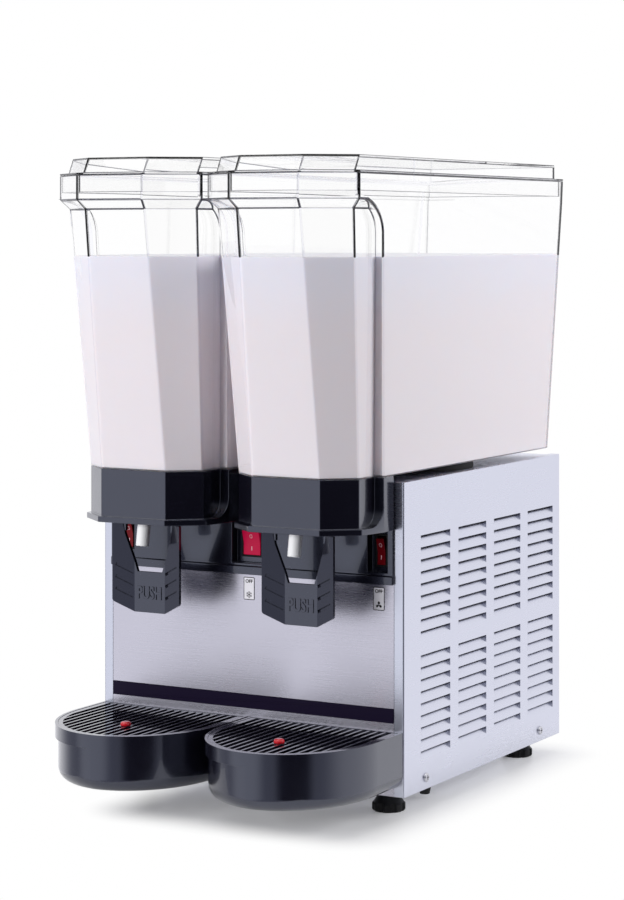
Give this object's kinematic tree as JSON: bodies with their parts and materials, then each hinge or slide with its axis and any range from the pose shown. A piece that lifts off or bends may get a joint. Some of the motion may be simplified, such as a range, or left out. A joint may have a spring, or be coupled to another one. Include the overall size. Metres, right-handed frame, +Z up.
{
  "type": "cold drink dispenser",
  "caption": "Table-top cold drink dispenser: clear chilled tanks with lids over a louvred steel cabinet, with push taps, rocker switches and drip trays.",
  "frame": {"origin": "on the floor, below the centre of the bounding box", "axes": "+Z up; the taps and drip trays face -Y; +X is to the right for a person who faces the taps"},
  "size_m": [0.36, 0.561, 0.6625],
  "materials": {
    "brushed_steel": "fine brushed",
    "satin_steel": "satin",
    "black_gloss": "gloss",
    "black_satin": "satin",
    "lit_red": "translucent, lit",
    "dark_red": "gloss",
    "float_red": "gloss",
    "clear_plastic": "clear, polished",
    "drink": "still liquid",
    "white_plastic": "gloss",
    "pale_rubber": "matte",
    "black_rubber": "matte",
    "stainless": "polished",
    "zinc_plate": "plated",
    "magnet_black": "satin",
    "black_paint": "gloss",
    "aluminium": "mill",
    "copper": "bright",
    "grey_plastic": "satin"
  },
  "bodies": {
    "cabinet": {"base_pan": "satin_steel", "front_panel": "brushed_steel", "left_side_panel": "satin_steel", "right_side_panel": "satin_steel", "rear_panel": "satin_steel", "top_deck": "brushed_steel", "fascia": "black_gloss", "centre_switch_body": "black_satin", "left_switch_body": "black_satin", "right_switch_body": "black_satin", "base_bumper": "black_rubber", "compressor": "black_paint", "condenser": "aluminium", "fan_motor": "zinc_plate", "refrigerant_pipes": "copper", "thermostat": "grey_plastic", "cord_gland": "black_satin", "left_collar": "black_gloss", "left_tank_gasket": "pale_rubber", "left_evaporator": "stainless", "left_agitator_motor": "zinc_plate", "left_lever_pin": "stainless", "left_valve_spring": "stainless", "right_collar": "black_gloss", "right_tank_gasket": "pale_rubber", "right_evaporator": "stainless", "right_agitator_motor": "zinc_plate", "right_lever_pin": "stainless", "right_valve_spring": "stainless"},
    "centre_rocker": {"centre_rocker": "lit_red"},
    "left_rocker": {"left_rocker": "dark_red"},
    "right_rocker": {"right_rocker": "dark_red"},
    "condenser_fan": {"condenser_fan": "grey_plastic"},
    "thermostat_knob": {"thermostat_knob": "black_satin"},
    "front_left_foot": {"front_left_foot": "black_satin"},
    "front_right_foot": {"front_right_foot": "black_satin"},
    "rear_left_foot": {"rear_left_foot": "black_satin"},
    "rear_right_foot": {"rear_right_foot": "black_satin"},
    "left_tank": {"left_tank": "clear_plastic", "left_drink": "drink"},
    "left_lid": {"left_lid": "clear_plastic"},
    "left_tap_lever": {"left_tap_lever": "black_gloss"},
    "left_valve_piston": {"left_valve_piston": "white_plastic", "left_piston_seal": "black_rubber"},
    "left_drip_tray": {"left_drip_tray": "black_gloss"},
    "left_drip_grille": {"left_drip_grille": "black_gloss"},
    "left_level_float": {"left_level_float": "float_red"},
    "left_impeller": {"left_impeller": "white_plastic"},
    "left_magnet_rotor": {"left_magnet_rotor": "magnet_black"},
    "right_tank": {"right_tank": "clear_plastic", "right_drink": "drink"},
    "right_lid": {"right_lid": "clear_plastic"},
    "right_tap_lever": {"right_tap_lever": "black_gloss"},
    "right_valve_piston": {"right_valve_piston": "white_plastic", "right_piston_seal": "black_rubber"},
    "right_drip_tray": {"right_drip_tray": "black_gloss"},
    "right_drip_grille": {"right_drip_grille": "black_gloss"},
    "right_level_float": {"right_level_float": "float_red"},
    "right_impeller": {"right_impeller": "white_plastic"},
    "right_magnet_rotor": {"right_magnet_rotor": "magnet_black"}
  },
  "joints": [
    {"name": "left_tank_lift", "type": "slide", "parent": "cabinet", "child": "left_tank", "axis": [0, 0, 1], "range_m": [0, 0.2]},
    {"name": "left_lid_lift", "type": "slide", "parent": "left_tank", "child": "left_lid", "axis": [0, 0, 1], "range_m": [0, 0.1]},
    {"name": "left_lever_push", "type": "hinge", "parent": "cabinet", "child": "left_tap_lever", "pos_m": [-0.09, -0.1915, 0.305], "axis": [1, 0, 0], "range_deg": [0, 18], "stiffness_Nm_per_rad": 1.5, "springref_deg": -8.59, "deforming": ["left_valve_spring"]},
    {"name": "left_piston_lift", "type": "slide", "parent": "cabinet", "child": "left_valve_piston", "axis": [0, 0, 1], "range_m": [0, 0.0041]},
    {"name": "left_tray_pull", "type": "slide", "parent": "cabinet", "child": "left_drip_tray", "axis": [0, -1, 0], "range_m": [0, 0.1]},
    {"name": "left_grille_lift", "type": "slide", "parent": "left_drip_tray", "child": "left_drip_grille", "axis": [0, 0, 1], "range_m": [0, 0.06]},
    {"name": "left_float_rise", "type": "slide", "parent": "left_drip_grille", "child": "left_level_float", "axis": [0, 0, 1], "range_m": [0, 0.008]},
    {"name": "left_rotor_spin", "type": "hinge", "parent": "cabinet", "child": "left_magnet_rotor", "pos_m": [-0.09, 0.0555, 0.4], "axis": [0, 0, 1], "continuous": true},
    {"name": "left_impeller_spin", "type": "hinge", "parent": "cabinet", "child": "left_impeller", "pos_m": [-0.09, 0.0555, 0.49], "axis": [0, 0, 1], "continuous": true},
    {"name": "right_tank_lift", "type": "slide", "parent": "cabinet", "child": "right_tank", "axis": [0, 0, 1], "range_m": [0, 0.2]},
    {"name": "right_lid_lift", "type": "slide", "parent": "right_tank", "child": "right_lid", "axis": [0, 0, 1], "range_m": [0, 0.1]},
    {"name": "right_lever_push", "type": "hinge", "parent": "cabinet", "child": "right_tap_lever", "pos_m": [0.09, -0.1915, 0.305], "axis": [1, 0, 0], "range_deg": [0, 18], "stiffness_Nm_per_rad": 1.5, "springref_deg": -8.59, "deforming": ["right_valve_spring"]},
    {"name": "right_piston_lift", "type": "slide", "parent": "cabinet", "child": "right_valve_piston", "axis": [0, 0, 1], "range_m": [0, 0.0041]},
    {"name": "right_tray_pull", "type": "slide", "parent": "cabinet", "child": "right_drip_tray", "axis": [0, -1, 0], "range_m": [0, 0.1]},
    {"name": "right_grille_lift", "type": "slide", "parent": "right_drip_tray", "child": "right_drip_grille", "axis": [0, 0, 1], "range_m": [0, 0.06]},
    {"name": "right_float_rise", "type": "slide", "parent": "right_drip_grille", "child": "right_level_float", "axis": [0, 0, 1], "range_m": [0, 0.008]},
    {"name": "right_rotor_spin", "type": "hinge", "parent": "cabinet", "child": "right_magnet_rotor", "pos_m": [0.09, 0.0555, 0.4], "axis": [0, 0, 1], "continuous": true},
    {"name": "right_impeller_spin", "type": "hinge", "parent": "cabinet", "child": "right_impeller", "pos_m": [0.09, 0.0555, 0.49], "axis": [0, 0, 1], "continuous": true},
    {"name": "centre_rocker_flip", "type": "hinge", "parent": "cabinet", "child": "centre_rocker", "pos_m": [0, -0.1075, 0.266], "axis": [-1, 0, 0], "range_deg": [0, 16]},
    {"name": "left_rocker_flip", "type": "hinge", "parent": "cabinet", "child": "left_rocker", "pos_m": [-0.1516, -0.1075, 0.266], "axis": [-1, 0, 0], "range_deg": [0, 16]},
    {"name": "right_rocker_flip", "type": "hinge", "parent": "cabinet", "child": "right_rocker", "pos_m": [0.1516, -0.1075, 0.266], "axis": [-1, 0, 0], "range_deg": [0, 16]},
    {"name": "fan_spin", "type": "hinge", "parent": "cabinet", "child": "condenser_fan", "pos_m": [0.076, 0.0755, 0.119], "axis": [1, 0, 0], "continuous": true},
    {"name": "thermostat_turn", "type": "hinge", "parent": "cabinet", "child": "thermostat_knob", "pos_m": [-0.125, 0.2635, 0.285], "axis": [0, 1, 0], "range_deg": [0, 270]},
    {"name": "front_left_foot_turn", "type": "hinge", "parent": "cabinet", "child": "front_left_foot", "pos_m": [-0.147, -0.0895, 0.01], "axis": [0, 0, 1], "continuous": true},
    {"name": "front_right_foot_turn", "type": "hinge", "parent": "cabinet", "child": "front_right_foot", "pos_m": [0.147, -0.0895, 0.01], "axis": [0, 0, 1], "continuous": true},
    {"name": "rear_left_foot_turn", "type": "hinge", "parent": "cabinet", "child": "rear_left_foot", "pos_m": [-0.147, 0.22, 0.01], "axis": [0, 0, 1], "continuous": true},
    {"name": "rear_right_foot_turn", "type": "hinge", "parent": "cabinet", "child": "rear_right_foot", "pos_m": [0.147, 0.22, 0.01], "axis": [0, 0, 1], "continuous": true}
  ],
  "couplings": [
    {"joint": "left_piston_lift", "follows": "left_lever_push", "m_per_rad": 0.01288},
    {"joint": "left_impeller_spin", "follows": "left_rotor_spin", "ratio": 1},
    {"joint": "right_piston_lift", "follows": "right_lever_push", "m_per_rad": 0.01288},
    {"joint": "right_impeller_spin", "follows": "right_rotor_spin", "ratio": 1}
  ]
}
